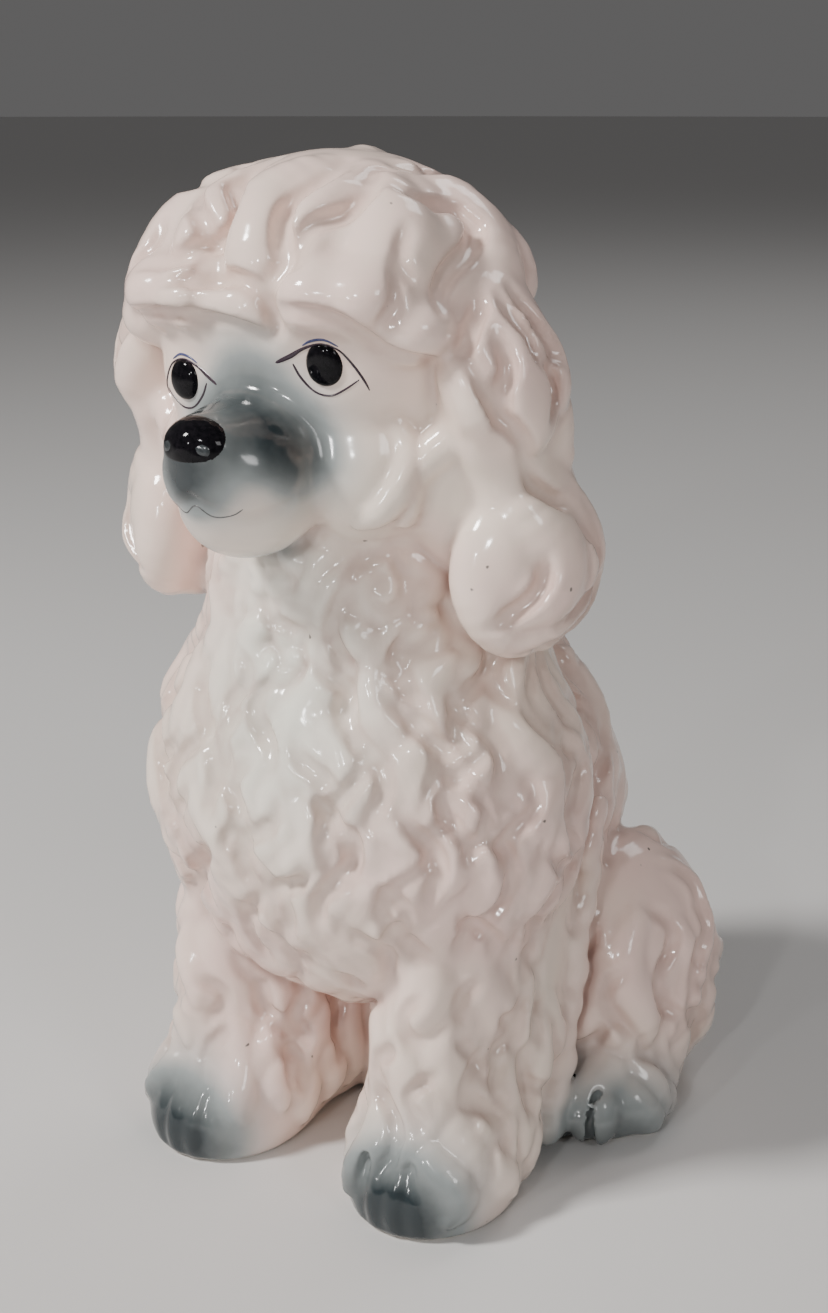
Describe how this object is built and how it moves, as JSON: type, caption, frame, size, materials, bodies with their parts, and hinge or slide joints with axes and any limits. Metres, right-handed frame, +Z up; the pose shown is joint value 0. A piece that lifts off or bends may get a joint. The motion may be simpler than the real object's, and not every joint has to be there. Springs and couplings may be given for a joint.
{
  "type": "dog figurine",
  "caption": "Seated poodle figurine in glazed, hollow slip-cast earthenware, with curly coat, painted eyes, nose and paws, resting on a flat unglazed base.",
  "frame": {"origin": "on the surface that the figurine stands on, under the middle of its bounding box", "axes": "+Z up, -Y the way the dog faces, +X the dog's left side"},
  "size_m": [0.154, 0.207, 0.28],
  "materials": {
    "white_glaze": "gloss",
    "slip": "satin"
  },
  "bodies": {
    "root": {"body_casting": "white_glaze", "head_casting": "white_glaze", "head_slip_joint": "slip", "ear_left_casting": "white_glaze", "ear_left_slip_joint": "slip", "ear_right_casting": "white_glaze", "ear_right_slip_joint": "slip", "foreleg_left_casting": "white_glaze", "foreleg_left_slip_joint": "slip", "foreleg_right_casting": "white_glaze", "foreleg_right_slip_joint": "slip", "hind_leg_left_casting": "white_glaze", "hind_leg_left_slip_joint": "slip", "hind_leg_right_casting": "white_glaze", "hind_leg_right_slip_joint": "slip", "tail_casting": "white_glaze", "tail_slip_joint": "slip"}
  },
  "joints": []
}
